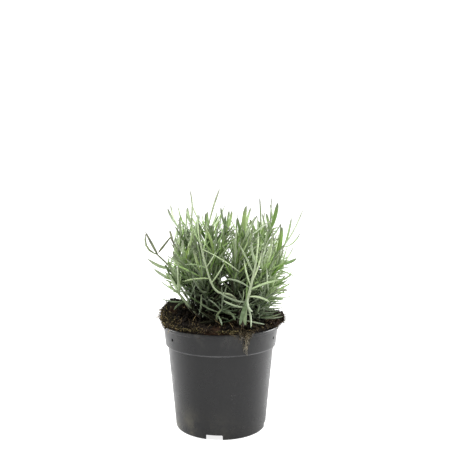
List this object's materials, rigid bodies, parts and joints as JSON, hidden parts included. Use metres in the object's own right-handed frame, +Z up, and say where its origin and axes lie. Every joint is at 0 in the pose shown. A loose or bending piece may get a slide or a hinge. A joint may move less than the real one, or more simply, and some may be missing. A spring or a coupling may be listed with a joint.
{
  "type": "potted lavender",
  "caption": "Young Hidcote lavender with narrow grey-green leaves, growing in mossy peat in a round dark grey plastic nursery pot.",
  "frame": {"origin": "centre of the whole plant's and pot's bounding box on the floor, which is on the pot's axis to within a millimetre and a half", "axes": "+Z up along the pot's axis, -Y towards the viewer, +X to the viewer's right"},
  "size_m": [0.1405, 0.1065, 0.211],
  "materials": {
    "dark_grey_plastic": "satin, dusty",
    "peat": null,
    "lavender_green": null
  },
  "bodies": {
    "root": {"leafy_stem_01": "lavender_green", "leafy_stem_02": "lavender_green", "leafy_stem_03": "lavender_green", "leafy_stem_04": "lavender_green", "leafy_stem_05": "lavender_green", "leafy_stem_06": "lavender_green", "leafy_stem_07": "lavender_green", "leafy_stem_08": "lavender_green", "leafy_stem_09": "lavender_green", "leafy_stem_10": "lavender_green", "leafy_stem_11": "lavender_green", "leafy_stem_12": "lavender_green", "leafy_stem_13": "lavender_green", "leafy_stem_14": "lavender_green", "leafy_stem_15": "lavender_green", "leafy_stem_16": "lavender_green", "leafy_stem_17": "lavender_green", "leafy_stem_18": "lavender_green", "leafy_stem_19": "lavender_green", "leafy_stem_20": "lavender_green", "leafy_stem_21": "lavender_green", "leafy_stem_22": "lavender_green", "leafy_stem_23": "lavender_green", "leafy_stem_24": "lavender_green", "leafy_stem_25": "lavender_green", "leafy_stem_26": "lavender_green", "leafy_stem_27": "lavender_green", "leafy_stem_28": "lavender_green", "leafy_stem_29": "lavender_green", "leafy_stem_30": "lavender_green", "leafy_stem_31": "lavender_green", "leafy_stem_32": "lavender_green", "leafy_stem_33": "lavender_green", "leafy_stem_34": "lavender_green", "pot": "dark_grey_plastic", "root_ball": "peat"}
  },
  "joints": []
}
